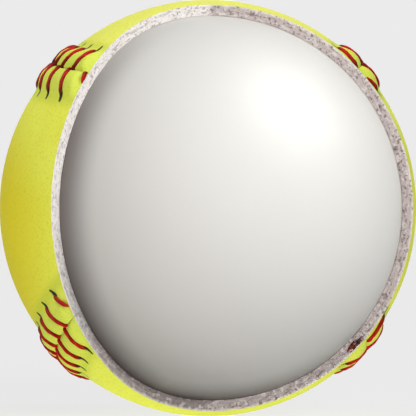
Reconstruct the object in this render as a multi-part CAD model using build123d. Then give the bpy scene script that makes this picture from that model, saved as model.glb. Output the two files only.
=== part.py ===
from build123d import *
import os
from bisect import bisect_left, bisect_right
from math import ceil, cos, degrees, floor, pi, radians, sin, sqrt, tan

# A softball with a slice of its cover cut away to show the core.
# Millimetres and degrees. The origin is the centre of the ball, +Z is up,
# and the cut-away side faces -Y.

# Ball
circumference = 304.8
cover_thickness = 2.5
cement_film = 0.1

# Seam: the narrowest width of a cover panel, and how the pattern is tipped and turned
waist_width = 35.7
seam_tip = -9.8
seam_turn = 2.8

# How far the sewn seam strays sideways from that pattern, at degrees round its loop
seam_strays = {
    0: 0,
    16: -0.9,
    36: 1.35,
    46: 1.35,
    85: 0,
    115: 0,
    134: 0.65,
    152: -0.25,
    180: 0,
    195: 0,
    214: 1.9,
    228: 2.3,
    268: 0,
    285: 0,
    318: 0.95,
    332: 1.1,
    360: 0,
}

# Twin ridges along the seam, measured across it on the ball's surface
ridge_height = 1.4
ridge_crest = 3.0
ridge_toe = 8.1
toe_sink = 0.15
valley_height = 0.1
ridge_setback = 0.9

# Stitches: two threads laced from side to side through awl slits
stitch_count = 84
stitch_start = 0.45
slit_offset = 6.7
stitch_rake = 2.0
slit_length = 2.6
slit_width = 1.5
thread_diameter = 1.0
thread_clearance = 0.12
thread_sides = 6

# Slice cut from the cover: a face on the right, a slanted one on the left,
# and the bend between them
cut_depth = 12.8
cut_face_slope = 2.4
cut_side_slope = 40.7
cut_corner = 12.2
cut_bend_radius = 35.0

# Worked out from the sizes above
ball_radius = circumference / (2 * pi)
core_radius = ball_radius - cover_thickness
lining_radius = core_radius + cement_film
seam_wide = ball_radius / 2 + waist_width / 4
seam_narrow = ball_radius / 2 - waist_width / 4
seam_sway = 2 * sqrt(seam_wide * seam_narrow)
thread_radius = thread_diameter / 2
thread_room = thread_radius + thread_clearance
SEAM_STEPS = 2000


def pattern_direction(turn):
    """Unit vector from the centre to the seam's pattern, at an angle round its closed loop."""
    across = -(seam_wide * sin(turn) + seam_narrow * sin(3 * turn))
    up = seam_wide * cos(turn) - seam_narrow * cos(3 * turn)
    front = seam_sway * cos(2 * turn)
    flat = Vector(across, -front, up) / ball_radius
    return flat.rotate(Axis.X, seam_tip).rotate(Axis.Z, seam_turn)


def seam_stray(turn):
    """Distance sideways from the pattern to the seam, eased between the given places."""
    places = list(seam_strays)
    place = degrees(turn) % 360
    i = bisect_right(places, place)
    share = (place - places[i - 1]) / (places[i] - places[i - 1])
    before, after = seam_strays[places[i - 1]], seam_strays[places[i]]
    return before + (after - before) * (1 - cos(pi * share)) / 2


def seam_direction(turn):
    """Unit vector from the centre to the seam, at an angle round its closed loop."""
    small = pi / SEAM_STEPS
    out = pattern_direction(turn)
    along = pattern_direction(turn + small) - pattern_direction(turn - small)
    across = out.cross(along).normalized()
    return (out * ball_radius + across * seam_stray(turn)).normalized()


# Length along the seam at small steps, to place stitches evenly
seam_angles = [2 * pi * i / SEAM_STEPS for i in range(SEAM_STEPS + 1)]
seam_lengths = [0.0]
for before, after in zip(seam_angles, seam_angles[1:]):
    step = (seam_direction(after) - seam_direction(before)).length * ball_radius
    seam_lengths.append(seam_lengths[-1] + step)
stitch_pitch = seam_lengths[-1] / stitch_count


def seam_angle(station):
    """Angle round the loop of a point given by its length along the seam."""
    i = min(max(bisect_left(seam_lengths, station), 1), SEAM_STEPS)
    share = (station - seam_lengths[i - 1]) / (seam_lengths[i] - seam_lengths[i - 1])
    return seam_angles[i - 1] + share * (seam_angles[i] - seam_angles[i - 1])


def seam_plane(turn):
    """Plane square to the seam: X across the seam, Y out of the ball, Z along the seam."""
    small = pi / SEAM_STEPS
    along = seam_direction(turn + small) - seam_direction(turn - small)
    out = seam_direction(turn)
    return Plane(out * ball_radius, x_dir=out.cross(along), z_dir=along)


def across_seam(width, height):
    """Point of a seam section: width on the ball's surface and height above it."""
    angle = width / ball_radius
    reach = ball_radius + height
    return Vector(reach * sin(angle), reach * cos(angle) - ball_radius)


def by_seam(station, width, height):
    """Point in space given by its station along the seam, width across it and height."""
    return seam_plane(seam_angle(station)).from_local_coords(across_seam(width, height))


def ridge_profile(width):
    """Height of a ridge at a width from the seam: steep to the valley, gentle to the toe."""
    if width < ridge_crest:
        share = (ridge_crest - width) / ridge_crest
        return valley_height + (ridge_height - valley_height) * sqrt(1 - share**2)
    share = (width - ridge_crest) / (ridge_toe - ridge_crest)
    return (ridge_height + toe_sink) * (1 + cos(pi * share)) / 2 - toe_sink


def leather_height(width):
    """Height of the leather above the ball at a width from the seam."""
    return max(ridge_profile(min(width, ridge_toe)), 0)


# The slice: seen from above, its edge runs along both cut faces with a bend between
def make_slice():
    far = 2 * ball_radius
    corner_y = -(cut_depth + cut_corner * tan(radians(cut_face_slope)))
    corner = Vector(-cut_corner, corner_y)
    right_end = Vector(far, -(cut_depth - far * tan(radians(cut_face_slope))))
    left_run = far - cut_corner
    left_end = Vector(-far, corner_y - left_run * tan(radians(cut_side_slope)))
    front_left = Vector(-far, left_end.Y - far)
    front_right = Vector(far, left_end.Y - far)
    edge = FilletPolyline(right_end, corner, left_end, radius=cut_bend_radius)
    rest = Polyline(left_end, front_left, front_right, right_end)
    return extrude(make_face(edge.edges() + rest.edges()), amount=far, both=True)


# Where the threads go: under the leather, up a slit, over the ridge, down the seam.
# The two threads of a stitch go down side by side, clear of each other's slanted run.
under_run = sqrt(slit_offset**2 + (stitch_pitch - stitch_rake) ** 2)
under_sag = under_run**2 / (8 * core_radius)
dive_gap = (thread_radius + thread_clearance / 2) * under_run / slit_offset
dive_height = ridge_profile(thread_room) + thread_clearance
under_height = thread_room + under_sag - cover_thickness
LEG_SHARES = (0.78, 0.53, 0.33, 0.15)


def stitch_station(number):
    return (number + stitch_start) * stitch_pitch


def slit_station(number):
    return stitch_station(number) - stitch_rake


def dive_station(number, side):
    return stitch_station(number) + side * dive_gap


def above_ridge(width):
    """Width and height of a thread that lies on the leather at a width from the seam."""
    small = ridge_crest / 1000
    slope = (leather_height(width + small) - leather_height(width - small)) / (2 * small)
    lift = thread_room / sqrt(1 + slope**2)
    return width - slope * lift, leather_height(width) + lift


def stitch_points(number, side):
    """One stitch of a thread: up its slit, over the ridge and down the seam."""
    rise = slit_station(number)
    dive = dive_station(number, side)
    exit_height = leather_height(slit_offset) + thread_room
    points = [by_seam(rise, side * slit_offset, under_height)]
    points.append(by_seam(rise, side * slit_offset, exit_height))
    for share in LEG_SHARES:
        width, height = above_ridge(share * slit_offset)
        points.append(by_seam(dive + share * (rise - dive), side * width, height))
    points.append(by_seam(dive, 0, dive_height))
    points.append(by_seam(dive, 0, under_height))
    return points


# Shares of the width from valley to crest, and from crest to toe, where the ridge is drawn
CREST_SHARES = (0, 0.3, 0.6, 1)
TOE_SHARES = (0.3, 0.6, 1)

# Seam runs: one round each lobe of the front panel, both ending inside the slice
RUN_MARGIN = radians(10)
RUN_SPANS = 8
SPAN_POINTS = 5
RUNS = {"left": (RUN_MARGIN, pi - RUN_MARGIN), "right": (pi + RUN_MARGIN, 2 * pi - RUN_MARGIN)}


def run_path(start, end, reach):
    """Seam run at a reach from the centre, as a chain of smooth spans."""
    spans = []
    step = (end - start) / RUN_SPANS
    for i in range(RUN_SPANS):
        turns = [start + step * (i + k / (SPAN_POINTS - 1)) for k in range(SPAN_POINTS)]
        ends = [seam_plane(turns[0]).z_dir, seam_plane(turns[-1]).z_dir]
        spans.append(Spline([seam_direction(turn) * reach for turn in turns], tangents=ends))
    return Wire([span.edge() for span in spans])


def sweep_run(section, start, end):
    """Sweep a section along a seam run, kept upright on the ball all the way."""
    guide = run_path(start, end, core_radius)
    return Solid.sweep(seam_plane(start) * section, run_path(start, end, ball_radius), mode=guide)


def ridge_section():
    """Twin ridges with a valley between, sunk into the leather."""
    widths = [ridge_crest * share for share in CREST_SHARES]
    widths += [ridge_crest + (ridge_toe - ridge_crest) * share for share in TOE_SHARES]
    crowns = []
    for side in (1, -1):
        crowns.append(Spline([across_seam(side * w, ridge_profile(w)) for w in widths]))
    root = -cover_thickness / 3
    feet = [across_seam(side * widths[-1], root) for side in (1, -1)]
    base = Polyline(crowns[0] @ 1, *feet, crowns[1] @ 1)
    return make_face(crowns + [base]).face()


def thread_room_section():
    """Slot between the panels' edges, and the room for threads under the edges."""
    slot = thread_room
    reach = slit_offset + thread_room
    roof = under_height + thread_room
    floor_height = -cover_thickness - thread_room
    toe = reach + cover_thickness / 2
    half = [(slot, 2 * ridge_height), (slot, roof), (reach, roof), (toe, floor_height)]
    outline = [across_seam(width, height) for width, height in half]
    outline += [across_seam(-width, height) for width, height in reversed(half)]
    return make_face(Polyline(*outline, close=True)).face()


def run_stitches(start, end):
    """Numbers of the stitches on a seam run."""
    first = ceil(seam_lengths[bisect_left(seam_angles, start)] / stitch_pitch)
    last = floor(seam_lengths[bisect_left(seam_angles, end)] / stitch_pitch) - 1
    return range(first, last)


def slit_cutter(number, side):
    """Awl slit: a diamond through the leather, long along the leg of its stitch."""
    centre = by_seam(slit_station(number), side * slit_offset, 0)
    along = by_seam(dive_station(number, side), 0, 0) - centre
    half_length = slit_length / 2
    half_width = slit_width / 2
    corners = [(-half_length, 0), (0, -half_width), (half_length, 0), (0, half_width)]
    diamond = Plane(centre, x_dir=along, z_dir=centre) * make_face(Polyline(*corners, close=True))
    return extrude(diamond, amount=2 * cover_thickness, both=True)


def make_cover(cut_slice):
    """Shell with ridges, sliced open, parted at the seam into panels, then pierced."""
    shell = Sphere(ball_radius) - Sphere(lining_radius)
    ridge_slice = Pos(0, ridge_setback, 0) * cut_slice
    for run in RUNS.values():
        shell += sweep_run(ridge_section(), *run) - ridge_slice
    shell -= [cut_slice] + [sweep_run(thread_room_section(), *run) for run in RUNS.values()]
    left, back, right = sorted(shell.solids(), key=lambda solid: solid.center().X)
    slits = {"left": [], "back": [], "right": []}
    for name, run in RUNS.items():
        for number in run_stitches(*run):
            slits[name].append(slit_cutter(number, 1))
            slits["back"].append(slit_cutter(number, -1))
    panels = {"left": left, "back": back, "right": right}
    return {name: panel - slits[name] for name, panel in panels.items()}


def make_thread(start, end, needle):
    """One thread of a seam run, which changes side at every stitch."""
    points = []
    for number in run_stitches(start, end):
        side = 1 if (number + needle) % 2 == 0 else -1
        points += stitch_points(number, side)
    section = Plane(points[0], z_dir=points[1] - points[0]) * RegularPolygon(thread_radius, thread_sides)
    path = Wire.make_polygon(points, close=False)
    return Solid.sweep(section.face(), path, transition=Transition.RIGHT)


os.makedirs("parts", exist_ok=True)
cut_slice = make_slice()
export_step(Sphere(core_radius), "parts/core.step")
for name, panel in make_cover(cut_slice).items():
    export_step(panel, f"parts/cover_{name}.step")
for name, run in RUNS.items():
    for needle, label in enumerate(("even", "odd")):
        thread = make_thread(*run, needle) - cut_slice
        longest = max(thread.solids(), key=lambda solid: solid.volume)
        export_step(longest, f"parts/thread_{name}_{label}.step")
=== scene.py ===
from math import cos, pi, radians, sin, sqrt, tan

import bpy
import numpy as np
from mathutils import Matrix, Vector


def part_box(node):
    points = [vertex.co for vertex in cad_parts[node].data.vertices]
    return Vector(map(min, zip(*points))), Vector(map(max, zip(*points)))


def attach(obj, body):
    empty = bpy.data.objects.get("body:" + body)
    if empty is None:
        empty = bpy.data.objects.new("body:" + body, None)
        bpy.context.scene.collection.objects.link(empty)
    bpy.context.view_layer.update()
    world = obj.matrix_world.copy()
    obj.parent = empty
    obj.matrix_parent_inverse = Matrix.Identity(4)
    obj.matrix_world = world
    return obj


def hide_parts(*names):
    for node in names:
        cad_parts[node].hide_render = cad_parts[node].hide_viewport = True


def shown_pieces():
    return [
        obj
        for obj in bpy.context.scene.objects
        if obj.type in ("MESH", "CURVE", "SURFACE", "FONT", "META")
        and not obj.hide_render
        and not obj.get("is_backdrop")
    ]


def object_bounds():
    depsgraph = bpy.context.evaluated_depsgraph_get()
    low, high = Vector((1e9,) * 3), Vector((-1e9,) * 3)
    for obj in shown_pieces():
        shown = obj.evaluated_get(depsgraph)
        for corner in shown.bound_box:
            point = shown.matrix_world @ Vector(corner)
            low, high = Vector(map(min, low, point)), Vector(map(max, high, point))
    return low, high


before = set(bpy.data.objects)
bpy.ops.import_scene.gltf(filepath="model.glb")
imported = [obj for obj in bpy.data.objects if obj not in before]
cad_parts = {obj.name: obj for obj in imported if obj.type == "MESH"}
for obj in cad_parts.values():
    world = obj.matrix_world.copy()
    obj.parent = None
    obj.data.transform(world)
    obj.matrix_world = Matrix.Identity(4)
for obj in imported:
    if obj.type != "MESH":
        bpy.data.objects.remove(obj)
CAD_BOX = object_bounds()
CORE_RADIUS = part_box("core")[1].z

bl_info = {
    "name": "Cutaway Softball",
    "version": (1, 0, 0),
    "blender": (4, 5, 0),
    "location": "View3D > Sidebar > Softball",
    "description": "Sews a softball cover with a slice cut away over its core",
    "category": "Add Mesh",
}


def length(description, default):
    return bpy.props.FloatProperty(
        description=description, default=default, min=0.0, unit="LENGTH", precision=5
    )


def angle(description, degrees):
    return bpy.props.FloatProperty(description=description, default=radians(degrees), unit="ROTATION")


def share(description, default):
    return bpy.props.FloatProperty(
        description=description, default=default, min=0.0, max=1.0, subtype="FACTOR"
    )


def colour(description, default):
    return bpy.props.FloatVectorProperty(
        description=description, default=default, size=3, min=0.0, max=1.0, subtype="COLOR"
    )


class SoftballSizes(bpy.types.PropertyGroup):
    """Sizes of the cover, its seam and the slice cut from it."""

    core_radius: length("Radius of the moulded core", CORE_RADIUS)
    cover_thickness: length("Leather, from the core to the outside", 0.0025)
    cement_film: length("Gap between the core and the leather", 0.0001)
    waist_width: length("Narrowest width of a cover panel", 0.0357)
    seam_tip: angle("How far the seam pattern is tipped back", -9.8)
    seam_turn: angle("How far the seam pattern is turned to the side", 2.8)
    ridge_height: length("Height of the twin ridges along the seam", 0.0014)
    ridge_crest: length("Width from the seam to a ridge's crest", 0.0030)
    ridge_toe: length("Width from the seam to where a ridge ends", 0.0080)
    valley_height: length("Height of the leather at the seam", 0.0001)
    ridge_puff: share("How much the leather swells between stitches", 0.08)
    stitch_squeeze: share("How much a stitch presses the ridge down", 0.36)
    ridge_run_out: length("Over which the ridges fall away behind the slice", 0.0034)
    ridge_wear: share("How much lower the ridges are on the right", 0.12)
    stitch_count: bpy.props.IntProperty(description="Stitches round the whole seam", default=84, min=8)
    stitch_start: share("Share of a pitch before the first stitch", 0.45)
    stitch_rake: length("How far a stitch leans along the seam", 0.0020)
    slit_offset: length("Width from the seam to the awl slits", 0.0067)
    slit_tail: length("Open end of an awl slit beyond its thread", 0.0021)
    slit_dent: length("How deep the leather dips round an awl slit", 0.0004)
    thread_diameter: length("Thickness of the waxed thread", 0.0010)
    thread_clearance: length("Room beside a thread", 0.00012)
    thread_lay: length("Length of one twist of the thread's plies", 0.0026)
    cut_depth: length("From the ball's centre to the slice's face", 0.0128)
    cut_face_slope: angle("Slope of the slice's right face", 2.4)
    cut_side_slope: angle("Slope of the slice's left face", 40.7)
    cut_corner: length("From the ball's centre to the bend of the slice", 0.0122)
    cut_bend_radius: length("Radius of the bend between the slice's faces", 0.035)


class SoftballColours(bpy.types.PropertyGroup):
    """Colours of the leather, thread and core."""

    leather: colour("Dyed outside of the cover", (0.76, 0.80, 0.100))
    # Settled dye in random patches; on the left side the same colour is also painted shade.
    leather_deep_and_side_shade: colour("Dye where it has settled", (0.66, 0.56, 0.023))
    # Painted sheen: the leather is paler at the top of the ball.
    leather_top_sheen: colour("Dye at the top of the ball", (0.73, 0.74, 0.130))
    leather_ridge: colour("Dye on the ridges along the seam", (0.59, 0.66, 0.085))
    # Darker leather in the grain's pores, and painted shade in the crease beside a ridge.
    leather_pores_and_crease_shade: colour("Dye in the crease beside a ridge", (0.42, 0.48, 0.035))
    # Near black: painted shade inside an awl slit, also used among torn strands.
    slit: colour("Inside of an awl slit", (0.030, 0.028, 0.020))
    fibre_pale: colour("Cut edge of the leather, top left", (0.92, 0.87, 0.835))
    # Painted shade on the cut edge's right face.
    fibre_right_shade: colour("Cut edge of the leather, right", (0.53, 0.455, 0.435))
    # Painted shade on the cut edge at the bottom left.
    fibre_low_shade: colour("Cut edge of the leather, bottom left", (0.34, 0.29, 0.275))
    fleck: colour("Dark flecks in the cut edge", (0.15, 0.10, 0.095))
    thread: colour("Waxed thread", (0.46, 0.015, 0.011))
    # Thread, darker between its plies.
    thread_deep: colour("Wax between the thread's plies", (0.30, 0.010, 0.008))
    # Painted shade on the thread down in the seam's valley; it also darkens the lobe's legs towards their
    # slits.
    thread_dark: colour("Thread where it goes down the seam", (0.08, 0.006, 0.005))
    thread_cut: colour("Frayed end of a thread in the slice", (0.18, 0.026, 0.016))
    core: colour("Moulded core", (0.803, 0.788, 0.748))
    # Painted warm tint where the core is in shade, low on the left.
    core_warm_shade: colour("Core turned away from the lamps", (0.815, 0.775, 0.725))
    # Painted shade on the core beside the cut leather, low on the left.
    core_shade: colour("Core beside the cut leather, low on the left", (0.17, 0.145, 0.130))
    floor: colour("Studio floor and backdrop", (0.831, 0.831, 0.831))


# Course of the seam: degrees round its loop, and millimetres that it strays there from its pattern
SEAM_STRAYS = (
    (0, 16, 36, 46, 85, 115, 134, 152, 180, 195, 214, 228, 268, 285, 318, 332, 360),
    (0, -0.9, 1.35, 1.35, 0, 0, 0.65, -0.25, 0, 0, 1.9, 2.3, 0, 0, 0.95, 1.1, 0),
)
MILLIMETRE = 0.001
RUN_MARGIN = radians(10)
RUNS = {"left": (RUN_MARGIN, pi - RUN_MARGIN), "right": (pi + RUN_MARGIN, 2 * pi - RUN_MARGIN)}

# Steps of the meshes
SEAM_STEPS = 4000
COLUMN_STEP = 0.00025
BAND_WIDTH = 0.0105
BAND_ROWS = 40
BAND_KNOTS = ((0.0, 0.1, 0.86, 1.0), (0.00004, 0.0006, 0.0086, BAND_WIDTH))
LOBE_ROWS = 30
BACK_ROWS = 24
BACK_FADE = 0.3
RIM_ROWS = 6
RIM_FADE = 0.034
SEAM_ROWS = 2
LINING_KEPT = 0.56
PANEL_CREASE = radians(50)
CORE_CUTS = 47
BISECTIONS = 44
PANEL_GAP = 1e-6
THREAD_GAP = 1e-7

# How far a stitch's press, an awl slit's dent and the painted shade in the crease at a ridge's foot reach
# in the leather
PRESS_SPREAD = 0.0011
PRESS_FADE = 0.0016
DENT_SPREAD = 0.0006
CREASE_SHADE_SPREAD = 0.0016

# Threads: shares of a stitch's leg where it is drawn, and how proud it stands there and at its slit
LEG_SHARES = (0.78, 0.53, 0.33, 0.15)
THREAD_PROUD = 0.5
THREAD_EXIT = 0.2
THREAD_SIDES = 12
THREAD_CREASE = radians(60)
PLIES = 3
PLY_WAVE = 0.07
LEG_END = 0.80
LEG_TAPER = 0.35
END_SETBACK = 0.0009
TIP_LENGTH = 0.0014
TIP_WIDTH = 0.35
VALLEY_SHADE_REACH = 0.0045
SIDE_HINT = (0.3, 0.5, 0.8)

# Torn strands: bearings where each starts and ends on the rim, and how far inside the skin
TORN_THREAD = ("right", 0)
STRAND_POINTS = 16
STRAND_SUNK = 0.0001
STRAND_WIDTH = 0.6
STRANDS = (
    (-45.6, -41.4, 0.0003, 0.0008),
    (-45.0, -40.2, 0.0009, 0.0003),
    (-46.2, -42.8, 0.0010, 0.0014),
    (-44.2, -41.0, 0.0016, 0.0011),
    (-42.8, -39.6, 0.0007, 0.0010),
    (-44.6, -42.4, 0.0005, 0.0018),
)

# Patches over a surface: their scale, detail, and the levels where they start and are full
LEATHER_PATCHES = (45.0, 3.0, 0.45, 1.05)
LEATHER_GRAIN = (1700.0, 3.0, 0.2, 0.8)
PALE_FIBRES = (900.0, 2.0, 0.50, 0.66)
RIM_FLECKS = (1500.0, 2.0, 0.56, 0.66)
THREAD_FRAY = (1500.0, 3.0, 0.38, 0.55)
THREAD_FLUFF = (2100.0, 2.0, 0.60, 0.66)
THREAD_FUZZ = (4000.0, 2.0, 0.3, 0.7)
CORE_CLOUDS = (30.0, 3.0, 0.2, 0.9)
CORE_SKIN = (600.0, 2.0, 0.3, 0.7)

# Bumps: their height and strength
SLIT_BUMP = (0.0003, 0.6)
GRAIN_BUMP = (0.0002, 0.22)
FIBRE_BUMP = (0.0006, 0.6)
FUZZ_BUMP = (0.0001, 0.3)
SKIN_BUMP = (0.0001, 0.04)

# Leather: widths of an awl slit's painted shade, how strong the painted crease shade is, where the dye is
# deeper on the left, partly as painted shade of that side, and where a painted sheen makes the top paler
SLIT_START = 0.0005
SLIT_WIDE = 0.00060
SLIT_NARROW = 0.00030
SLIT_SOFT = 0.00010
SLIT_NEAR = (0.4, 0.6)
CREASE_SHADE = 0.4
DEEP_AND_SHADED_SIDE = (0.028, 0.0475)
DEEP_AND_SHADED_RISE = 0.4
TOP_SHEEN_SPAN = (0.022, 0.044)
PORE_TONE = 0.35
LEATHER_ROUGHNESS = (0.55, 0.70)
LEATHER_GLOSS = 0.05

# Cut edge: fibres along the rim, and its painted light and shade by bearing, seen from the front in degrees
FIBRE_ALONG = 22.0
FIBRE_ACROSS = 1700.0
FIBRE_NOISE = {"Scale": 1.0, "Detail": 3.0, "Roughness": 0.65, "Distortion": 0.7}
FIBRE_LEVELS = (0.46, 0.72)
STREAK_TONE = 0.75
SOILED_SIDE = (-0.03, 0.01)
SOILED_STREAKS = (0.85, 1.0)
SOILED_FLECKS = (0.25, 0.75)
PALE_TONE = 0.40
RIM_LINE = 0.0006
RIM_LINE_TONE = 0.6
EDGE_ROUGHNESS = 0.85
EDGE_GLOSS = 0.2
# Painted light and shade: the cut edge pale where its left face is lit, darker on the shaded right face and
# at the bottom left.
RIM_LIGHT_AND_SHADE = (
    (-180, "fibre_pale", 1.0),
    (-138, "fibre_pale", 0.65),
    (-125, "fibre_low_shade", 1.4),
    (-110, "fibre_low_shade", 1.4),
    (-98, "fibre_low_shade", 0.9),
    (-90.6, "fibre_low_shade", 0.9),
    (-89.8, "fibre_right_shade", 0.9),
    (-60, "fibre_right_shade", 0.8),
    (-25, "fibre_right_shade", 1.1),
    (89.2, "fibre_right_shade", 1.0),
    (90.2, "fibre_pale", 0.9),
    (132, "fibre_pale", 1.05),
    (179.9, "fibre_pale", 1.0),
)

# Thread: marks along it, how strongly each tints it, and the colour it tints it with
# The first and last marks are painted shade: in the seam's valley, and where the thread goes into its slit.
THREAD_TINTS = (("valley", 0.9, "thread_dark"), ("worn", 0.5, "thread_dark"), ("ending", 0.9, "slit"))
PLY_FULL = 0.7
THREAD_ROUGHNESS = 0.6
THREAD_GLOSS = 0.12

# Core: how far low and left counts, and where the painted shade and its painted warm tint lie by the cut
# leather
CLOUD_TONE = 0.95
LOW_LEFT = (-0.8, -0.4)
CORE_WARM_SHADE_SPAN = (-0.010, 0.030)
CORE_SHADE_SPAN = (-0.018, 0.022)
CORE_SHADE_WIDTH = 0.011
CORE_ROUGHNESS = (0.44, 0.50)
CORE_GLOSS = 0.95

# Stage
FLOOR_WIDTH = 6.0
FLOOR_PAINT = (0.30, 0.30, 0.30)
FLOOR_ROUGHNESS = 0.9
FLOOR_SHADOW = 0.3
FLOOR_GLOW = 1.33
ROOM_LIGHT = 0.06
CAMERA_DISTANCE = 0.9702
CAMERA_LENS = 360.0
CAMERA_SENSOR = 36.0
CAMERA_NEAR = 0.01


def smooth(value):
    value = np.clip(value, 0.0, 1.0)
    return value * value * (3.0 - 2.0 * value)


def unit(vectors):
    return vectors / np.linalg.norm(vectors, axis=-1, keepdims=True)


def between(start, end, part):
    """Points on the great circle from start to end, both at one reach from the centre."""
    spread = np.arccos(np.clip(np.sum(unit(start) * unit(end), axis=-1), -1.0, 1.0))[:, None]
    spread = np.maximum(spread, 1e-9)
    part = part[:, None]
    return (np.sin((1 - part) * spread) * start + np.sin(part * spread) * end) / np.sin(spread)


class Ball:
    """Course of the seam on the ball, height of the leather beside it, and the slice."""

    def __init__(self, sizes):
        self.sizes = sizes
        self.radius = sizes.core_radius + sizes.cover_thickness
        self.lining = sizes.core_radius + sizes.cement_film
        self.wide = self.radius / 2 + sizes.waist_width / 4
        self.narrow = self.radius / 2 - sizes.waist_width / 4
        self.sway = 2 * sqrt(self.wide * self.narrow)
        self.turns = np.linspace(0.0, 2 * pi, SEAM_STEPS + 1)
        steps = np.linalg.norm(np.diff(self.direction(self.turns), axis=0), axis=1) * self.radius
        self.lengths = np.concatenate(([0.0], np.cumsum(steps)))
        self.pitch = self.lengths[-1] / sizes.stitch_count
        self.thread_radius = sizes.thread_diameter / 2
        under_run = sqrt(sizes.slit_offset**2 + (self.pitch - sizes.stitch_rake) ** 2)
        self.under_sag = under_run**2 / (8 * sizes.core_radius)
        self.dive_gap = (self.thread_radius + sizes.thread_clearance / 2) * under_run / sizes.slit_offset

    def stray(self, turn):
        """Distance sideways from the pattern to the sewn seam, eased between given places."""
        places, strays = (np.array(row, dtype=float) for row in SEAM_STRAYS)
        place = np.degrees(turn) % 360
        i = np.clip(np.searchsorted(places, place, side="right"), 1, len(places) - 1)
        part = (place - places[i - 1]) / (places[i] - places[i - 1])
        eased = (1 - np.cos(pi * part)) / 2
        return (strays[i - 1] + (strays[i] - strays[i - 1]) * eased) * MILLIMETRE

    def direction(self, turn):
        """Unit vectors from the centre to the seam, at angles round its closed loop."""
        small = pi / SEAM_STEPS
        out = self.pattern(turn)
        across = unit(np.cross(out, self.pattern(turn + small) - self.pattern(turn - small)))
        return unit(out * self.radius + across * self.stray(turn)[..., None])

    def pattern(self, turn):
        """Unit vectors from the centre to the seam's even pattern."""
        across = -(self.wide * np.sin(turn) + self.narrow * np.sin(3 * turn))
        up = self.wide * np.cos(turn) - self.narrow * np.cos(3 * turn)
        back = -self.sway * np.cos(2 * turn)
        tip, spin = self.sizes.seam_tip, self.sizes.seam_turn
        back, up = back * cos(tip) - up * sin(tip), back * sin(tip) + up * cos(tip)
        across, back = across * cos(spin) - back * sin(spin), across * sin(spin) + back * cos(spin)
        return np.stack([across, back, up], axis=-1) / self.radius

    def station(self, turn):
        return float(np.interp(turn, self.turns, self.lengths))

    def place(self, station, width, height):
        """Points given by station along the seam, width across it and height above the ball."""
        turn = np.interp(station, self.lengths, self.turns)
        small = pi / SEAM_STEPS
        out = self.direction(turn)
        along = unit(self.direction(turn + small) - self.direction(turn - small))
        across = np.cross(out, along)
        sweep = (width / self.radius)[:, None]
        return (out * np.cos(sweep) + across * np.sin(sweep)) * (self.radius + height)[:, None]

    def from_seam(self, points):
        """Widths from the seam of points near it, above 0 on the side of a lobe."""
        small = pi / SEAM_STEPS
        seam = self.direction(self.turns)
        along = self.direction(self.turns + small) - self.direction(self.turns - small)
        across = unit(np.cross(seam, along))
        spots = unit(points)
        nearest = np.array([np.argmax(seam @ spot) for spot in spots])
        return np.arcsin(np.sum(across[nearest] * spots, axis=1)) * self.radius

    def leg_lean(self, side):
        """How far a stitch runs along the seam for each metre across it."""
        return -(side * self.dive_gap + self.sizes.stitch_rake) / self.sizes.slit_offset

    def from_stitch(self, station, width, side):
        """Signed length along the seam from the nearest stitch to each point."""
        first = self.sizes.stitch_start * self.pitch + side * self.dive_gap
        turns = (station - first - self.leg_lean(side) * width) / self.pitch
        return (turns - np.round(turns)) * self.pitch

    def ridge(self, width):
        """Height of an evenly rolled ridge at widths from the seam."""
        s = self.sizes
        rise = np.clip((s.ridge_crest - width) / s.ridge_crest, 0.0, 1.0)
        steep = s.valley_height + (s.ridge_height - s.valley_height) * np.sqrt(1 - rise**2)
        fall = np.clip((width - s.ridge_crest) / (s.ridge_toe - s.ridge_crest), 0.0, 1.0)
        gentle = s.ridge_height * (1 + np.cos(pi * fall)) / 2
        return np.where(width < s.ridge_crest, steep, gentle)

    def beyond_slit(self, width, side):
        """Signed length along a stitch from its slit's middle."""
        return (width - self.sizes.slit_offset) * sqrt(1 + self.leg_lean(side) ** 2)

    def stitch_marks(self, station, width, side):
        """Place beside the nearest stitch, nearness to it and place along it, for the leather's dye."""
        turns = self.from_stitch(station, width, side) * 2 * pi / self.pitch
        beside = np.sin(turns) * self.pitch / (2 * pi) / sqrt(1 + self.leg_lean(side) ** 2)
        return np.stack([beside, np.cos(turns), self.beyond_slit(width, side)], axis=-1)

    def ridge_mark(self, width):
        """1 on the ridges, fading to 0 at the edge of the strip beside the seam."""
        return smooth((BAND_WIDTH - width) / (BAND_WIDTH - self.sizes.ridge_crest))

    def crease_shade_mark(self, width):
        """Painted shade: 1 in the crease where a ridge meets the ball, 0 away from it."""
        return np.exp(-(((width - self.sizes.ridge_toe) / CREASE_SHADE_SPREAD) ** 2))

    def leather(self, station, width, side):
        """Height of the sewn leather: ridges puffed between stitches, pressed under them."""
        s = self.sizes
        beside = self.from_stitch(station, width, side)
        near = np.exp(-((beside / PRESS_SPREAD) ** 2))
        held = smooth(width / PRESS_SPREAD) * smooth((s.slit_offset + PRESS_SPREAD - width) / PRESS_FADE)
        swell = 1.0 + s.ridge_puff * held - s.stitch_squeeze * near * held
        dent = np.exp(-((beside / DENT_SPREAD) ** 2 + (self.beyond_slit(width, side) / PRESS_SPREAD) ** 2))
        flat = self.place(station, side * width, np.zeros_like(width))
        return self.run_out(flat) * (self.ridge(width) * swell - s.slit_dent * dent)

    def run_out(self, points):
        """Share of the ridges' height at points on the ball: less on the right, 0 at the slice."""
        worn = 1.0 - self.sizes.ridge_wear * smooth(0.5 + points[:, 0] / self.radius)
        return worn * smooth(self.kept(points) / self.sizes.ridge_run_out)

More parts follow.
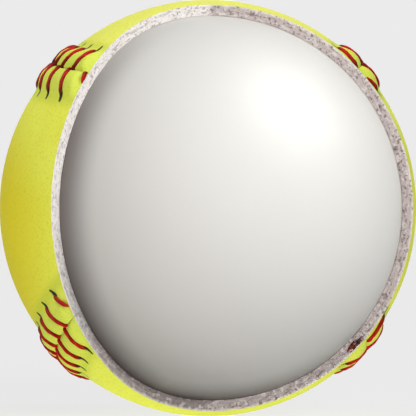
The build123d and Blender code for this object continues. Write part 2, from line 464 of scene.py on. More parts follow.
    def cut_y(self, x):
        """Depth of the slice's face, seen from above, at places across the ball."""
        s = self.sizes
        corner_y = -(s.cut_depth + s.cut_corner * tan(s.cut_face_slope))
        reach = s.cut_bend_radius * tan((s.cut_side_slope - s.cut_face_slope) / 2)
        face, side = s.cut_face_slope, s.cut_side_slope
        right_x = -s.cut_corner + reach * cos(face)
        left_x = -s.cut_corner - reach * cos(side)
        centre_x = right_x + s.cut_bend_radius * sin(face)
        centre_y = corner_y + reach * sin(face) - s.cut_bend_radius * cos(face)
        bend = centre_y + np.sqrt(np.maximum(s.cut_bend_radius**2 - (x - centre_x) ** 2, 0.0))
        right = corner_y + (x + s.cut_corner) * tan(face)
        left = corner_y + (x + s.cut_corner) * tan(side)
        return np.where(x > right_x, right, np.where(x < left_x, left, bend))

    def kept(self, points):
        """How far points lie behind the slice's face."""
        return points[:, 1] - self.cut_y(points[:, 0])

    def rim(self, bearing, reach):
        """Points of the slice's face at bearings seen from the front and a reach from the centre."""
        low = np.zeros_like(bearing)
        high = np.full_like(bearing, 1.2 * self.radius)
        for _ in range(BISECTIONS):
            middle = (low + high) / 2
            points = self.on_face(middle, bearing)
            outside = np.linalg.norm(points, axis=1) > reach
            high = np.where(outside, middle, high)
            low = np.where(outside, low, middle)
        return self.on_face((low + high) / 2, bearing)

    def on_face(self, reach, bearing):
        x = reach * np.cos(bearing)
        return np.stack([x, self.cut_y(x), reach * np.sin(bearing)], axis=-1)


class Band:
    """Strip of a panel beside one run of the seam, from rim to rim."""

    def __init__(self, ball, run, side):
        self.ball = ball
        self.side = side
        start, end = (ball.station(turn) for turn in RUNS[run])
        self.margins = (start, end)
        self.middle = (start + end) / 2
        zero = np.zeros(1)
        self.ends = tuple(float(self.rim_station(i, zero, zero)[0]) for i in (0, 1))

    def surface(self, station, width, depth):
        """Points of the strip, from its outside at depth 0 to its lining at depth 1."""
        ball = self.ball
        outside = ball.leather(station, width, self.side)
        height = outside * (1 - depth) + (ball.lining - ball.radius) * depth
        return ball.place(station, self.side * width, height)

    def rim_station(self, end, width, depth):
        """Stations where the strip meets the slice at one of its ends."""
        cut = np.full_like(width, self.margins[end])
        kept = np.full_like(width, self.middle)
        for _ in range(BISECTIONS):
            station = (cut + kept) / 2
            behind = self.ball.kept(self.surface(station, width, depth)) > 0
            kept = np.where(behind, station, kept)
            cut = np.where(behind, cut, station)
        return (cut + kept) / 2

    def lay(self, along, width, depth):
        """Points of the strip by share along it, width and depth, both ends on the slice."""
        pairs, back = np.unique(np.stack([width, depth], axis=-1), axis=0, return_inverse=True)
        back = back.ravel()
        start, end = self.ends
        station = start + along * (end - start)
        lean = self.ball.leg_lean(self.side) * np.minimum(width, self.ball.sizes.slit_offset)
        near_start = 1 - smooth((station - start) / RIM_FADE)
        near_end = 1 - smooth((end - station) / RIM_FADE)
        first = self.rim_station(0, pairs[:, 0], pairs[:, 1])[back] - start
        last = self.rim_station(1, pairs[:, 0], pairs[:, 1])[back] - end
        shift = lean * (1 - near_start - near_end) + first * near_start + last * near_end
        return station + shift

    def points(self, along, width, depth):
        return self.surface(self.lay(along, width, depth), width, depth)

    def inner_edge(self, along, depth):
        return self.points(along, np.full_like(along, BAND_WIDTH), depth)


def band_width(part):
    return np.interp(part, *BAND_KNOTS)


def reach_at(ball, depth):
    return ball.radius * (1 - depth) + ball.lining * depth


def rim_between(ball, start, end, part, depth):
    """Points of the rim from one point of it to another, by share and depth."""
    first = np.arctan2(start[:, 2], start[:, 0])
    turn = np.arctan2(end[:, 2], end[:, 0]) - first
    turn = (turn + pi) % (2 * pi) - pi
    return ball.rim(first + part * turn, reach_at(ball, depth))


class LobeField:
    """Leather of a lobe between the strip along its seam and the rim of the slice."""

    def __init__(self, ball, band):
        self.ball = ball
        self.band = band

    def points(self, along, across, depth):
        seam_edge = self.band.inner_edge(along, depth)
        start = self.band.inner_edge(np.zeros_like(along), depth)
        end = self.band.inner_edge(np.ones_like(along), depth)
        rim_edge = rim_between(self.ball, start, end, along, depth)
        return between(seam_edge, rim_edge, across)


class BackField:
    """Leather of the back panel between the strips along its two seams."""

    def __init__(self, ball, left, right):
        self.ball = ball
        self.left = left
        self.right = right

    def rows(self, along, across, depth):
        left = self.left.inner_edge(along, depth)
        right = self.right.inner_edge(1 - along, depth)
        return left, right, between(left, right, across)

    def points(self, along, across, depth):
        found = self.rows(along, across, depth)[2]
        for end in (0.0, 1.0):
            left, right, straight = self.rows(np.full_like(along, end), across, depth)
            rim_edge = rim_between(self.ball, left, right, across, depth)
            near = 1 - smooth(np.abs(along - end) / BACK_FADE)
            found = found + (rim_edge - straight) * near[:, None]
        return unit(found) * reach_at(self.ball, depth)[:, None]


def deselect():
    if bpy.context.object and bpy.context.object.mode != "OBJECT":
        bpy.ops.object.mode_set(mode="OBJECT")
    bpy.ops.object.select_all(action="DESELECT")


def laid_grid(name, columns, rows, place):
    """Grid whose shares along and across it are laid where place puts them."""
    deselect()
    bpy.ops.mesh.primitive_grid_add(x_subdivisions=columns, y_subdivisions=rows, size=1.0)
    piece = bpy.context.object
    piece.name = name
    spots = np.empty(len(piece.data.vertices) * 3)
    piece.data.vertices.foreach_get("co", spots)
    along, across = np.round(spots.reshape(-1, 3)[:, :2].T + 0.5, 7)
    piece.data.vertices.foreach_set("co", place(along, across).ravel())
    piece.data.update()
    return piece


def join(pieces, name):
    deselect()
    for piece in pieces:
        piece.select_set(True)
    bpy.context.view_layer.objects.active = pieces[0]
    bpy.ops.object.join()
    joined = bpy.context.object
    joined.name = name
    joined.data.name = name
    return joined


def close_seams(piece, gap, fill=False):
    """Merge the edges of joined sheets, fill open ends if asked, and turn all faces outwards."""
    deselect()
    piece.select_set(True)
    bpy.context.view_layer.objects.active = piece
    bpy.ops.object.mode_set(mode="EDIT")
    bpy.ops.mesh.select_all(action="SELECT")
    bpy.ops.mesh.remove_doubles(threshold=gap)
    if fill:
        bpy.ops.mesh.fill_holes(sides=0)
        bpy.ops.mesh.select_all(action="SELECT")
    bpy.ops.mesh.normals_make_consistent(inside=False)
    bpy.ops.object.mode_set(mode="OBJECT")


def finish_piece(piece, slot, *nodes):
    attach(piece, "root")
    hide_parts(*nodes)


def mark(sheet, marks):
    """Keep named values of the sheet's points for its material, each one number or three."""
    for name, values in marks.items():
        kind, field = ("FLOAT", "value") if values.ndim == 1 else ("FLOAT_VECTOR", "vector")
        attribute = sheet.data.attributes.new(name, kind, "POINT")
        attribute.data.foreach_set(field, values.astype(np.float32).ravel())


class PanelMaker:
    """Collects the sheets that close one leather panel."""

    def __init__(self, ball, name, materials):
        self.ball = ball
        self.name = name
        self.leather, self.edge = materials
        self.sheets = []

    def add(self, columns, rows, place, material):
        sheet = laid_grid(f"{self.name}_sheet", columns, rows, place)
        sheet.data.materials.append(material)
        self.sheets.append(sheet)
        return sheet

    def skins(self, columns, rows, points):
        """Outside and lining of a part of the panel."""
        self.add(columns, rows, lambda u, v: points(u, v, np.zeros_like(u)), self.leather)
        self.lining(columns, rows, points)

    def lining(self, columns, rows, points):
        lining = self.add(columns, rows, lambda u, v: points(u, v, np.ones_like(u)), self.edge)
        lining.vertex_groups.new(name="lining").add(range(len(lining.data.vertices)), 1.0, "REPLACE")

    def band(self, band, columns):
        def points(along, part, depth):
            return band.points(along, band_width(part), depth)

        marks = {}

        def outside(along, part):
            width = band_width(part)
            depth = np.zeros_like(along)
            station = band.lay(along, width, depth)
            marks["stitch"] = self.ball.stitch_marks(station, width, band.side)
            marks["toe"] = self.ball.crease_shade_mark(width)
            marks["ridge"] = self.ball.ridge_mark(width)
            return band.surface(station, width, depth)

        sheet = self.add(columns, BAND_ROWS, outside, self.leather)
        mark(sheet, marks)
        self.lining(columns, BAND_ROWS, points)
        self.add(columns, SEAM_ROWS, lambda u, v: points(u, np.zeros_like(u), v), self.edge)
        for end in (0.0, 1.0):
            self.add(BAND_ROWS, RIM_ROWS, lambda u, v: points(np.full_like(u, end), u, v), self.edge)

    def close(self):
        panel = join(self.sheets, self.name)
        close_seams(panel, PANEL_GAP)
        thin = panel.modifiers.new("thin_lining", "DECIMATE")
        thin.ratio = LINING_KEPT
        thin.vertex_group = "lining"
        bpy.ops.object.modifier_apply(modifier=thin.name)
        panel.vertex_groups.clear()
        bpy.ops.object.shade_smooth_by_angle(angle=PANEL_CREASE)
        return panel


def new_group(name, inputs, outputs):
    """Empty shader node group with named inputs and outputs."""
    group = bpy.data.node_groups.new(name, "ShaderNodeTree")
    for label, default in inputs.items():
        socket = group.interface.new_socket(label, in_out="INPUT", socket_type="NodeSocketFloat")
        socket.default_value = default
    for label in outputs:
        group.interface.new_socket(label, in_out="OUTPUT", socket_type="NodeSocketFloat")
    return group, group.nodes.new("NodeGroupInput"), group.nodes.new("NodeGroupOutput")


def mottle_group():
    """Uneven patches over a surface, as a height and as a mask between two levels of it."""
    inputs = {"Scale": 100.0, "Detail": 2.0, "Low": 0.3, "High": 0.7}
    group, given, made = new_group("mottle", inputs, ("Mask", "Height"))
    spot = group.nodes.new("ShaderNodeTexCoord")
    noise = group.nodes.new("ShaderNodeTexNoise")
    span = group.nodes.new("ShaderNodeMapRange")
    span.interpolation_type = "SMOOTHSTEP"
    group.links.new(spot.outputs["Object"], noise.inputs["Vector"])
    group.links.new(given.outputs["Scale"], noise.inputs["Scale"])
    group.links.new(given.outputs["Detail"], noise.inputs["Detail"])
    group.links.new(noise.outputs["Fac"], span.inputs["Value"])
    group.links.new(given.outputs["Low"], span.inputs["From Min"])
    group.links.new(given.outputs["High"], span.inputs["From Max"])
    group.links.new(span.outputs["Result"], made.inputs["Mask"])
    group.links.new(noise.outputs["Fac"], made.inputs["Height"])
    return group


class Finish:
    """Nodes of one material, with short ways to place and link them."""

    def __init__(self, name):
        self.material = bpy.data.materials.new(name)
        self.material.use_nodes = True
        self.nodes = self.material.node_tree.nodes
        self.links = self.material.node_tree.links
        self.shader = self.nodes["Principled BSDF"]

    def set(self, **values):
        for name, value in values.items():
            self.shader.inputs[name.replace("_", " ").title().replace("Ior", "IOR")].default_value = value

    def feed(self, name, output):
        self.links.new(output, self.shader.inputs[name])

    def mottle(self, scale, detail, low, high):
        node = self.nodes.new("ShaderNodeGroup")
        node.node_tree = bpy.data.node_groups.get("mottle") or mottle_group()
        for label, value in (("Scale", scale), ("Detail", detail), ("Low", low), ("High", high)):
            node.inputs[label].default_value = value
        return node.outputs

    def mark(self, name):
        node = self.nodes.new("ShaderNodeAttribute")
        node.attribute_name = name
        return node.outputs

    def parts(self, vector):
        node = self.nodes.new("ShaderNodeSeparateXYZ")
        self.links.new(vector, node.inputs[0])
        return node.outputs

    def place(self):
        return self.nodes.new("ShaderNodeTexCoord").outputs["Object"]

    def sum(self, operation, *values):
        node = self.nodes.new("ShaderNodeMath")
        node.operation = operation
        for socket, value in zip(node.inputs, values):
            if isinstance(value, (int, float)):
                socket.default_value = value
            else:
                self.links.new(value, socket)
        return node.outputs[0]

    def span(self, value, low, high, to_low=0.0, to_high=1.0, kind="SMOOTHSTEP"):
        node = self.nodes.new("ShaderNodeMapRange")
        node.interpolation_type = kind
        limits = {"From Min": low, "From Max": high, "To Min": to_low, "To Max": to_high}
        for label, limit in limits.items():
            node.inputs[label].default_value = limit
        self.links.new(value, node.inputs["Value"])
        return node.outputs["Result"]

    def blend(self, factor, first, second):
        mix = self.nodes.new("ShaderNodeMix")
        mix.data_type = "RGBA"
        sockets = [socket for socket in mix.inputs if socket.type == "RGBA"]
        for socket, value in zip(sockets, (first, second)):
            if isinstance(value, bpy.types.NodeSocket):
                self.links.new(value, socket)
            else:
                socket.default_value = (*value, 1.0)
        self.links.new(factor, mix.inputs["Factor"])
        return next(socket for socket in mix.outputs if socket.type == "RGBA")

    def bump(self, height, distance, strength, under=None):
        node = self.nodes.new("ShaderNodeBump")
        node.inputs["Distance"].default_value = distance
        node.inputs["Strength"].default_value = strength
        self.links.new(height, node.inputs["Height"])
        if under is not None:
            self.links.new(under, node.inputs["Normal"])
        return node.outputs["Normal"]


def leather_material(sizes, colours):
    """Dyed cover leather: fine grain, settled dye, painted shade in the creases by the ridges and in the
    open awl slits, dye deeper on the left that is partly painted shade, and a painted sheen on top.
    """
    finish = Finish("dyed_leather")
    patches = finish.mottle(*LEATHER_PATCHES)
    dyed = finish.blend(patches["Mask"], colours.leather, colours.leather_deep_and_side_shade)
    x, _, z = finish.parts(finish.place())
    # Deeper dye towards the left side, partly real dye and partly painted shade of that side, less towards
    # the top.
    raised = finish.sum("MULTIPLY", finish.sum("MAXIMUM", z, 0.0), DEEP_AND_SHADED_RISE)
    sideways = finish.sum("SUBTRACT", finish.sum("MULTIPLY", x, -1.0), raised)
    dyed = finish.blend(finish.span(sideways, *DEEP_AND_SHADED_SIDE), dyed, colours.leather_deep_and_side_shade)
    # Painted sheen: paler towards the top of the ball.
    dyed = finish.blend(finish.span(z, *TOP_SHEEN_SPAN), dyed, colours.leather_top_sheen)
    dyed = finish.blend(finish.mark("ridge")["Fac"], dyed, colours.leather_ridge)
    # Painted shade in the crease where a ridge meets the ball.
    crease = finish.sum("MULTIPLY", finish.mark("toe")["Fac"], CREASE_SHADE)
    dyed = finish.blend(crease, dyed, colours.leather_pores_and_crease_shade)
    beside, near, beyond = finish.parts(finish.mark("stitch")["Vector"])
    # Painted shade in the open awl slit: a dark mark that narrows along the slit.
    half = finish.span(beyond, -SLIT_START, sizes.slit_tail, SLIT_WIDE, SLIT_NARROW, "LINEAR")
    inside = finish.sum("SUBTRACT", half, finish.sum("ABSOLUTE", beside))
    slit = finish.span(inside, -SLIT_SOFT, SLIT_SOFT)
    start = (-2 * SLIT_START, -SLIT_START)
    tail = (sizes.slit_tail, sizes.slit_tail - SLIT_START)
    for place, ends in ((near, SLIT_NEAR), (beyond, start), (beyond, tail)):
        slit = finish.sum("MULTIPLY", slit, finish.span(place, *ends))
    grain = finish.mottle(*LEATHER_GRAIN)
    dyed = finish.blend(finish.span(grain["Mask"], 0.5, 1.0, 0.0, PORE_TONE), dyed, colours.leather_pores_and_crease_shade)
    finish.feed("Base Color", finish.blend(slit, dyed, colours.slit))
    finish.feed("Roughness", finish.span(grain["Mask"], 0.0, 1.0, *LEATHER_ROUGHNESS))
    cut = finish.bump(finish.sum("SUBTRACT", 1.0, slit), *SLIT_BUMP)
    finish.feed("Normal", finish.bump(grain["Height"], *GRAIN_BUMP, cut))
    finish.set(specular_ior_level=LEATHER_GLOSS)
    return finish.material


def edge_material(skin, colours):
    """Cut edge of the leather: fibres along the rim, flecked more on the right, and painted light and shade
    by bearing: pale at the top left, painted shade on the right and at the bottom left.
    """
    finish = Finish("cut_leather")
    x, _, z = finish.parts(finish.place())
    bearing = finish.sum("ARCTAN2", z, x)
    reach = finish.nodes.new("ShaderNodeVectorMath")
    reach.operation = "LENGTH"
    finish.links.new(finish.place(), reach.inputs[0])
    # Painted light and shade of the cut edge by bearing.
    rim_shading = finish.nodes.new("ShaderNodeValToRGB")
    stops = rim_shading.color_ramp.elements
    while len(stops) < len(RIM_LIGHT_AND_SHADE):
        stops.new(0.5)
    for stop, (degrees, tone, part) in zip(stops, RIM_LIGHT_AND_SHADE):
        stop.position = degrees / 360.0 + 0.5
        stop.color = (*(part * channel for channel in getattr(colours, tone)), 1.0)
    finish.links.new(finish.span(bearing, -pi, pi, kind="LINEAR"), rim_shading.inputs["Fac"])
    spread = finish.nodes.new("ShaderNodeCombineXYZ")
    finish.links.new(finish.sum("MULTIPLY", bearing, FIBRE_ALONG), spread.inputs["X"])
    finish.links.new(finish.sum("MULTIPLY", reach.outputs["Value"], FIBRE_ACROSS), spread.inputs["Y"])
    fibres = finish.nodes.new("ShaderNodeTexNoise")
    for label, value in FIBRE_NOISE.items():
        fibres.inputs[label].default_value = value
    finish.links.new(spread.outputs[0], fibres.inputs["Vector"])
    streaks = finish.span(fibres.outputs["Fac"], *FIBRE_LEVELS, 0.0, STREAK_TONE)
    streaks = finish.sum("MULTIPLY", streaks, finish.span(x, *SOILED_SIDE, *SOILED_STREAKS))
    tone = finish.blend(streaks, rim_shading.outputs["Color"], colours.fleck)
    pale = finish.mottle(*PALE_FIBRES)
    tone = finish.blend(finish.sum("MULTIPLY", pale["Mask"], PALE_TONE), tone, colours.fibre_pale)
    flecks = finish.mottle(*RIM_FLECKS)
    dark = finish.sum("MULTIPLY", flecks["Mask"], finish.span(x, *SOILED_SIDE, *SOILED_FLECKS))
    undyed = finish.span(reach.outputs["Value"], skin - RIM_LINE, skin, 0.0, RIM_LINE_TONE)
    tone = finish.blend(undyed, tone, colours.fibre_pale)
    finish.feed("Base Color", finish.blend(dark, tone, colours.fleck))
    finish.feed("Normal", finish.bump(fibres.outputs["Fac"], *FIBRE_BUMP))
    finish.set(roughness=EDGE_ROUGHNESS, specular_ior_level=EDGE_GLOSS)
    return finish.material


def thread_material(colours):
    """Waxed thread: plies, darker between them, brown and frayed where it is cut, with painted shade in the
    seam's valley and where it goes into its slit.
    """
    finish = Finish("waxed_thread")
    ply = finish.span(finish.mark("ply")["Fac"], 0.0, PLY_FULL)
    waxed = finish.blend(ply, colours.thread_deep, colours.thread)
    fray = finish.mottle(*THREAD_FRAY)
    # Torn strands: painted shade in the gaps among them, in the slit's near-black.
    torn = finish.blend(fray["Mask"], colours.slit, colours.thread_cut)
    fluff = finish.mottle(*THREAD_FLUFF)
    torn = finish.blend(fluff["Mask"], torn, colours.fibre_pale)
    # Tints along the thread, two of them painted shade: in the seam's valley and where it goes into its
    # slit.
    for label, part, tint in THREAD_TINTS:
        tinted = finish.sum("MULTIPLY", finish.mark(label)["Fac"], part)
        waxed = finish.blend(tinted, waxed, getattr(colours, tint))
    finish.feed("Base Color", finish.blend(finish.mark("frayed")["Fac"], waxed, torn))
    fuzz = finish.mottle(*THREAD_FUZZ)
    finish.feed("Normal", finish.bump(fuzz["Height"], *FUZZ_BUMP))
    finish.set(roughness=THREAD_ROUGHNESS, specular_ior_level=THREAD_GLOSS)
    return finish.material


def core_material(sizes, colours):
    """Moulded core: faint clouds, a fine skin, and painted shade with a painted warm tint beside the cut
    leather, low on the left.
    """
    finish = Finish("moulded_core")
    clouds = finish.mottle(*CORE_CLOUDS)
    pale = finish.blend(clouds["Mask"], colours.core, [CLOUD_TONE * channel for channel in colours.core])
    fronts = []
    corner_y = -(sizes.cut_depth + sizes.cut_corner * tan(sizes.cut_face_slope))
    for slope in (sizes.cut_face_slope, sizes.cut_side_slope):
        ahead = finish.nodes.new("ShaderNodeVectorMath")
        ahead.operation = "DOT_PRODUCT"
        ahead.inputs[1].default_value = (sin(slope), -cos(slope), 0.0)
        finish.links.new(finish.place(), ahead.inputs[0])
        offset = -sizes.cut_corner * sin(slope) - corner_y * cos(slope)
        fronts.append(finish.sum("SUBTRACT", ahead.outputs["Value"], offset))
    front = finish.sum("MINIMUM", *fronts)
    x, _, z = finish.parts(finish.place())
    low_left = finish.sum("ADD", *(finish.sum("MULTIPLY", *pair) for pair in zip((x, z), LOW_LEFT)))
    # Painted warm tint of the shade, low on the left of the core.
    pale = finish.blend(finish.span(low_left, *CORE_WARM_SHADE_SPAN), pale, colours.core_warm_shade)
    # Painted shade on the core near the slice's faces, strongest low on the left.
    shade = finish.span(front, 0.0, CORE_SHADE_WIDTH, 1.0, 0.0)
    shade = finish.sum("MULTIPLY", shade, finish.span(low_left, *CORE_SHADE_SPAN))
    finish.feed("Base Color", finish.blend(shade, pale, colours.core_shade))
    skin = finish.mottle(*CORE_SKIN)
    finish.feed("Roughness", finish.span(skin["Mask"], 0.0, 1.0, *CORE_ROUGHNESS))
    finish.feed("Normal", finish.bump(skin["Height"], *SKIN_BUMP))
    finish.set(specular_ior_level=CORE_GLOSS)
    return finish.material


class SOFTBALL_OT_core(bpy.types.Operator):
    """Mould the round core"""

    bl_idname = "softball.core"
    bl_label = "Core"

    def execute(self, context):
        sizes = context.scene.softball_sizes
        deselect()
        bpy.ops.mesh.primitive_cube_add(size=2.0)
        core = context.object
        core.name = "core_ball"
        bpy.ops.object.mode_set(mode="EDIT")
        bpy.ops.mesh.select_all(action="SELECT")
        bpy.ops.mesh.subdivide(number_cuts=CORE_CUTS)
        bpy.ops.object.mode_set(mode="OBJECT")
        spots = np.empty(len(core.data.vertices) * 3)
        core.data.vertices.foreach_get("co", spots)
        spread = np.tan(spots.reshape(-1, 3) * pi / 4)
        core.data.vertices.foreach_set("co", (unit(spread) * sizes.core_radius).ravel())
        core.data.update()
        bpy.ops.object.shade_smooth()
        core.data.materials.append(core_material(sizes, context.scene.softball_colours))
        finish_piece(core, "core", "core")
        return {"FINISHED"}


class SOFTBALL_OT_panels(bpy.types.Operator):
    """Cut, shape and close the three leather panels of the cover"""

    bl_idname = "softball.panels"
    bl_label = "Cover panels"

    def execute(self, context):
        sizes = context.scene.softball_sizes
        ball = Ball(sizes)
        colours = context.scene.softball_colours
        materials = (leather_material(sizes, colours), edge_material(ball.radius, colours))
        for name in RUNS:
            band = Band(ball, name, 1)
            columns = int((band.ends[1] - band.ends[0]) / COLUMN_STEP)
            maker = PanelMaker(ball, f"panel_{name}", materials)
            maker.band(band, columns)
            field = LobeField(ball, band)
            maker.skins(columns, LOBE_ROWS, field.points)
            maker.add(columns, RIM_ROWS, lambda u, v: field.points(u, np.ones_like(u), v), materials[1])
            finish_piece(maker.close(), "cover", f"cover_{name}")
        left, right = (Band(ball, name, -1) for name in RUNS)
        columns = int((left.ends[1] - left.ends[0]) / COLUMN_STEP)
        maker = PanelMaker(ball, "panel_back", materials)
        maker.band(left, columns)
        maker.band(right, columns)
        field = BackField(ball, left, right)
        maker.skins(columns, BACK_ROWS, field.points)
        for end in (0.0, 1.0):
            maker.add(
                BACK_ROWS, RIM_ROWS, lambda u, v: field.points(np.full_like(u, end), u, v), materials[1]
            )
        finish_piece(maker.close(), "cover", "cover_back")
        return {"FINISHED"}


def thread_route(ball, run, needle):
    """Control points of a thread: up a slit, over the ridge, down the seam, at every stitch."""
    s = ball.sizes
    start, end = (ball.station(turn) for turn in RUNS[run])
    first = int(np.ceil(start / ball.pitch))
    last = int(np.floor(end / ball.pitch)) - 1
    room = ball.thread_radius + s.thread_clearance
    under = room + ball.under_sag - s.cover_thickness
    lift = THREAD_PROUD * ball.thread_radius
    pressed = 1 + s.ridge_puff - s.stitch_squeeze
    small = s.ridge_crest / 1000
    route = []
    for number in range(first, last):
        side = 1 if (number + needle) % 2 == 0 else -1
        stitch = (number + s.stitch_start) * ball.pitch
        rise = stitch - s.stitch_rake
        dive = stitch + side * ball.dive_gap

        def height(station, width):
            flat = ball.place(np.array([station]), np.array([side * width]), np.zeros(1))
            return float(ball.ridge(np.array([width]))[0] * ball.run_out(flat)[0]) * pressed

        exit_height = height(rise, s.slit_offset) + THREAD_EXIT * lift
        spots = [(rise, s.slit_offset, under), (rise, s.slit_offset, exit_height)]
        for part in LEG_SHARES:
            station = dive + part * (rise - dive)
            width = part * s.slit_offset
            slope = (height(station, width + small) - height(station, width - small)) / (2 * small)
            raise_by = lift / sqrt(1 + slope**2)
            spots.append((station, width - slope * raise_by, height(station, width) + raise_by))
        spots.append((dive, 0.0, height(dive, room) + s.thread_clearance))
        spots.append((dive, 0.0, under))
        stations, widths, heights = np.array(spots).T
        route.extend(ball.place(stations, side * widths, heights))
    return np.array(route)


def smooth_route(points):
    """Points along a smooth line through a route."""
    data = bpy.data.curves.new("thread_route", "CURVE")
    data.dimensions = "3D"
    spline = data.splines.new("NURBS")
    spline.points.add(len(points) - 1)
    spline.points.foreach_set("co", np.hstack([points, np.ones((len(points), 1))]).ravel())
    spline.order_u = 3
    spline.use_endpoint_u = True
    spline.resolution_u = 8
    guide = bpy.data.objects.new("thread_route", data)
    bpy.context.scene.collection.objects.link(guide)
    line = bpy.data.meshes.new_from_object(guide)
    found = np.empty(len(line.vertices) * 3)
    line.vertices.foreach_get("co", found)
    bpy.data.objects.remove(guide)
    bpy.data.curves.remove(data)
    bpy.data.meshes.remove(line)
    return found.reshape(-1, 3)


def cut_route(ball, points):
    """Longest stretch of a line that lies behind the slice's face."""
    inside = np.linalg.norm(points, axis=1) < ball.radius
    behind = ball.kept(points) - np.where(inside, END_SETBACK, 0.0)
    changes = [0, *(np.flatnonzero(np.diff((behind > 0).astype(int))) + 1), len(points)]
    stretches = [(a, b) for a, b in zip(changes, changes[1:]) if behind[a] > 0]
    first, last = max(stretches, key=lambda stretch: stretch[1] - stretch[0])
    found = list(points[first:last])
    if first > 0:
        part = behind[first] / (behind[first] - behind[first - 1])
        found.insert(0, points[first] + part * (points[first - 1] - points[first]))
    if last < len(points):
        part = behind[last - 1] / (behind[last - 1] - behind[last])
        found.append(points[last - 1] + part * (points[last] - points[last - 1]))
    return np.array(found)


def carried_frames(points):
    """Two directions square to a line, carried along it without twist."""
    ahead = unit(np.gradient(points, axis=0))
    first = np.cross(ahead[0], SIDE_HINT)
    sides = [first / np.linalg.norm(first)]
    for way in ahead[1:]:
        carried = sides[-1] - way * np.dot(sides[-1], way)
        sides.append(carried / np.linalg.norm(carried))
    sides = np.array(sides)
    return sides, np.cross(ahead, sides)


def torn_strands(ball):
    """Lines of a thread's torn strands, which lie in the slice's face beside the lower right seam."""
    for start, end, first_inset, last_inset in STRANDS:
        bearing = np.radians(np.linspace(start, end, STRAND_POINTS))
        inset = np.linspace(first_inset, last_inset, STRAND_POINTS)
        sunk = STRAND_SUNK * np.cos(np.linspace(0.0, 2 * pi, STRAND_POINTS))
        points = np.array([ball.rim(b, ball.radius - i)[0] for b, i in zip(bearing[:, None], inset)])
        yield points + np.stack([np.zeros_like(sunk), sunk, np.zeros_like(sunk)], axis=-1)


def tube(ball, points, name, material, girth=1.0, torn=False):
    """Twisted tube of plies along a line, thinner at its two ends and closed there."""
    runs = np.linalg.norm(np.diff(points, axis=0), axis=1)
    lengths = np.concatenate(([0.0], np.cumsum(runs)))
    width = ball.from_seam(points)
    # How far a leg has gone towards its slit: it thins the thread there and drives the painted shade where
    # the thread goes into its slit.
    ending = smooth((np.abs(width) / ball.sizes.slit_offset - LEG_END) / (1 - LEG_END)) * (not torn)
    worn = smooth(np.abs(width) / ball.sizes.slit_offset) * (width > 0)
    # Painted shade on the thread in the seam's valley, stronger towards the top of the ball.
    shaded = np.where(width < 0, VALLEY_SHADE_REACH, VALLEY_SHADE_REACH / 3)
    valley = (1 - smooth(np.abs(width) / shaded)) * smooth(0.5 + points[:, 2] / ball.radius)
    tip = smooth(np.minimum(lengths, lengths[-1] - lengths) / TIP_LENGTH)
    radius = girth * ball.thread_radius * (TIP_WIDTH + (1 - TIP_WIDTH) * tip) * (1 - LEG_TAPER * ending)
    sides, ups = carried_frames(points)
    last = len(points) - 1
    marks = {}

    def place(along, around):
        i = np.round(along * last).astype(int)
        bearing = 2 * pi * around
        wave = np.cos(PLIES * bearing - 2 * pi * lengths[i] / ball.sizes.thread_lay)
        marks["ply"] = 0.5 + 0.5 * wave
        marks["frayed"] = np.full(len(i), float(torn))
        marks["ending"] = ending[i]
        marks["worn"] = worn[i]
        marks["valley"] = valley[i]
        reach = (radius[i] * (1.0 + PLY_WAVE * wave))[:, None]
        return points[i] + reach * (sides[i] * np.cos(bearing)[:, None] + ups[i] * np.sin(bearing)[:, None])

    made = laid_grid(name, last, THREAD_SIDES, place)
    mark(made, marks)
    made.data.materials.append(material)
    close_seams(made, THREAD_GAP, fill=True)
    return made


def make_thread(ball, run, needle, name, material):
    """One laced thread, with its torn strands where it has been pulled out into the slice."""
    route = smooth_route(thread_route(ball, run, needle))
    tubes = [tube(ball, cut_route(ball, route), name, material)]
    if (run, needle) == TORN_THREAD:
        for strand in torn_strands(ball):
            tubes.append(tube(ball, strand, name, material, STRAND_WIDTH, torn=True))
    thread = join(tubes, name)
    bpy.ops.object.shade_smooth_by_angle(angle=THREAD_CREASE)
    return thread


class SOFTBALL_OT_threads(bpy.types.Operator):
    """Lace the two waxed threads along each run of the seam"""

    bl_idname = "softball.threads"
    bl_label = "Threads"

    def execute(self, context):
        ball = Ball(context.scene.softball_sizes)
        material = thread_material(context.scene.softball_colours)
        for run in RUNS:
            for needle, label in enumerate(("even", "odd")):
                thread = make_thread(ball, run, needle, f"lacing_{run}_{label}", material)
                finish_piece(thread, "thread", f"thread_{run}_{label}")
        return {"FINISHED"}


def add_lamp(name, towards, level, spread, only=None, blockers=None, glint=False, shade=True):
    """Soft distant lamp: level is the light that white gets from it, spread its width in degrees.

    It lights only the pieces of one group, and glint and shade say if it shows in gloss and in matt tone.
    """
    deselect()
    bpy.ops.object.light_add(type="SUN", location=towards)
    lamp = bpy.context.object
    lamp.name = name
    lamp.data.energy = level * pi
    lamp.data.angle = radians(spread)
    lamp.rotation_euler = lamp.location.to_track_quat("Z", "Y").to_euler()
    lamp.visible_glossy = glint
    lamp.visible_diffuse = shade
    if only is not None:
        lamp.light_linking.receiver_collection = only
    if blockers is not None:
        lamp.light_linking.blocker_collection = blockers


def seen_directly(nodes, links, lit, shown):
    """Shader that the camera, gloss and glass see as shown, and all other rays as lit."""
    path = nodes.new("ShaderNodeLightPath")
    seen = path.outputs["Is Camera Ray"]
    for other in ("Is Glossy Ray", "Is Transmission Ray"):
        either = nodes.new("ShaderNodeMath")
        either.operation = "MAXIMUM"
        links.new(seen, either.inputs[0])
        links.new(path.outputs[other], either.inputs[1])
        seen = either.outputs[0]
    mixed = nodes.new("ShaderNodeMixShader")
    links.new(seen, mixed.inputs["Fac"])
    links.new(lit, mixed.inputs[1])
    links.new(shown, mixed.inputs[2])
    return mixed.outputs[0]


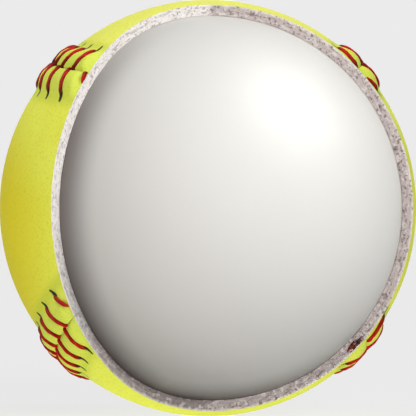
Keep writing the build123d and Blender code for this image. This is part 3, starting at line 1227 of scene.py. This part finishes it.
def floor_material(tone):
    """Pale floor that shows at one even tone, with the ball's soft shadow on it."""
    finish = Finish("studio_floor")
    finish.set(base_color=(*FLOOR_PAINT, 1.0), roughness=FLOOR_ROUGHNESS, specular_ior_level=0.0)
    glow = finish.nodes.new("ShaderNodeEmission")
    glow.inputs["Color"].default_value = tone
    glow.inputs["Strength"].default_value = FLOOR_GLOW
    soft = finish.nodes.new("ShaderNodeMixShader")
    soft.inputs["Fac"].default_value = 1.0 - FLOOR_SHADOW
    finish.links.new(finish.shader.outputs[0], soft.inputs[1])
    finish.links.new(glow.outputs[0], soft.inputs[2])
    surface = seen_directly(finish.nodes, finish.links, finish.shader.outputs[0], soft.outputs[0])
    finish.links.new(surface, finish.nodes["Material Output"].inputs["Surface"])
    return finish.material


class SOFTBALL_OT_stage(bpy.types.Operator):
    """Set up the floor, the lamps and the camera"""

    bl_idname = "softball.stage"
    bl_label = "Stage"

    def execute(self, context):
        scene = context.scene
        tone = (*scene.softball_colours.floor, 1.0)
        deselect()
        bpy.ops.mesh.primitive_plane_add(size=FLOOR_WIDTH, location=(0.0, 0.0, CAD_BOX[0].z))
        floor = context.object
        floor.name = "studio_floor"
        bpy.ops.object.transform_apply(location=True)
        floor.data.materials.append(floor_material(tone))
        floor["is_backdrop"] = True

        world = bpy.data.worlds.new("studio")
        world.use_nodes = True
        scene.world = world
        nodes, links = world.node_tree.nodes, world.node_tree.links
        nodes["Background"].inputs["Color"].default_value = (1.0, 1.0, 1.0, 1.0)
        nodes["Background"].inputs["Strength"].default_value = ROOM_LIGHT
        shown = nodes.new("ShaderNodeBackground")
        shown.inputs["Color"].default_value = tone
        surface = seen_directly(nodes, links, nodes["Background"].outputs[0], shown.outputs[0])
        links.new(surface, nodes["World Output"].inputs["Surface"])

        cover, core, ball = (bpy.data.collections.new(name) for name in ("cover", "core_and_floor", "ball"))
        core.objects.link(floor)
        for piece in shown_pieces():
            if piece.name.startswith(("panel_", "lacing_")):
                cover.objects.link(piece)
                ball.objects.link(piece)
            if piece.name.startswith("core_"):
                core.objects.link(piece)
                ball.objects.link(piece)
        add_lamp("key_lamp", (0.28, -0.91, 0.31), 0.88, 25.0, core)
        add_lamp("cover_key_lamp", (0.68, -0.68, 0.28), 0.71, 25.0, cover)
        add_lamp("top_lamp", (0.63, -0.16, 0.76), 0.28, 32.0, core, glint=True)
        add_lamp("glint_lamp", (0.63, -0.16, 0.76), 0.40, 50.0, core, glint=True, shade=False)
        add_lamp("cover_top_lamp", (-0.40, -0.30, 0.85), 0.80, 30.0, cover, glint=True)
        add_lamp("cover_left_lamp", (-0.60, -0.80, 0.0), 0.34, 30.0, cover)
        add_lamp("cover_low_lamp", (-0.20, -0.25, -0.95), 0.81, 30.0, cover, ball)
        add_lamp("cover_back_lamp", (0.10, 0.95, 0.15), 0.55, 30.0, cover)

        bpy.ops.object.camera_add(location=(0.0, -CAMERA_DISTANCE, 0.0), rotation=(pi / 2, 0.0, 0.0))
        camera = context.object
        camera.data.lens = CAMERA_LENS
        camera.data.sensor_width = CAMERA_SENSOR
        camera.data.clip_start = CAMERA_NEAR
        scene.camera = camera
        scene.view_settings.view_transform = "Standard"
        return {"FINISHED"}


class SOFTBALL_PT_panel(bpy.types.Panel):
    """Steps that build the softball"""

    bl_idname = "SOFTBALL_PT_panel"
    bl_label = "Softball"
    bl_space_type = "VIEW_3D"
    bl_region_type = "UI"
    bl_category = "Softball"

    def draw(self, context):
        for step in STEPS:
            self.layout.operator(step.bl_idname)
        for group in (context.scene.softball_sizes, context.scene.softball_colours):
            box = self.layout.box()
            for name in group.__annotations__:
                box.prop(group, name, text=name.replace("_", " ").capitalize())


STEPS = (SOFTBALL_OT_core, SOFTBALL_OT_panels, SOFTBALL_OT_threads, SOFTBALL_OT_stage)
CLASSES = (SoftballSizes, SoftballColours, *STEPS, SOFTBALL_PT_panel)


def register():
    for cls in CLASSES:
        bpy.utils.register_class(cls)
    bpy.types.Scene.softball_sizes = bpy.props.PointerProperty(type=SoftballSizes)
    bpy.types.Scene.softball_colours = bpy.props.PointerProperty(type=SoftballColours)


def unregister():
    del bpy.types.Scene.softball_colours
    del bpy.types.Scene.softball_sizes
    for cls in reversed(CLASSES):
        bpy.utils.unregister_class(cls)


def main():
    register()
    bpy.ops.softball.core()
    bpy.ops.softball.panels()
    bpy.ops.softball.threads()
    bpy.ops.softball.stage()


if __name__ == "__main__":
    main()
